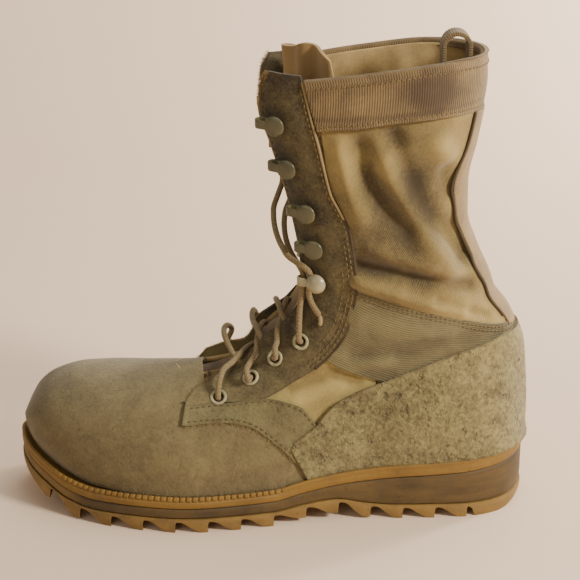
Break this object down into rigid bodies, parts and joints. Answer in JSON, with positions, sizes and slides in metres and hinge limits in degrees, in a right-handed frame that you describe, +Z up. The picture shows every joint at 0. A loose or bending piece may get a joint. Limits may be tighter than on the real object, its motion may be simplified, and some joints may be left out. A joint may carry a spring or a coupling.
{
  "type": "combat boot",
  "caption": "Mid-calf laced desert boot: hollow suede and canvas upper, padded collar, speed hooks, and a sawtooth rubber sole with a wedge heel.",
  "frame": {"origin": "middle of the boot's footprint, on the floor under the sole", "axes": "-X towards the toe, -Y towards the outer side of the foot, +Z up the shaft"},
  "size_m": [0.3145, 0.1105, 0.292],
  "materials": {
    "suede": "rough napped suede, worn",
    "canvas": "close-woven canvas",
    "webbing": "ribbed webbing",
    "lining": "plain soft lining",
    "ochre_rubber": "matt moulded rubber, scuffed",
    "brown_rubber": "matt foamed rubber",
    "enamel": "khaki enamel over steel, satin",
    "lace": "braided cord",
    "aglet": "clear brown plastic film"
  },
  "bodies": {
    "root": {"upper": "suede", "outsole": "ochre_rubber", "midsole": "brown_rubber", "welt": "ochre_rubber", "insole": "lining", "tongue": "canvas", "heel_counter": "suede", "collar_band": "webbing", "pull_loop": "webbing", "eyelet_outer_1": "enamel", "eyelet_outer_2": "enamel", "eyelet_outer_3": "enamel", "eyelet_outer_4": "enamel", "hook_outer_1": "enamel", "hook_outer_2": "enamel", "hook_outer_3": "enamel", "hook_outer_4": "enamel", "hook_outer_5": "enamel", "eyelet_inner_1": "enamel", "eyelet_inner_2": "enamel", "eyelet_inner_3": "enamel", "eyelet_inner_4": "enamel", "hook_inner_1": "enamel", "hook_inner_2": "enamel", "hook_inner_3": "enamel", "hook_inner_4": "enamel", "hook_inner_5": "enamel", "lace_crossing_1": "lace", "lace_crossing_2": "lace", "lace_crossing_3": "lace", "lace_riser": "lace", "lace_end": "lace", "aglet": "aglet"}
  },
  "joints": []
}
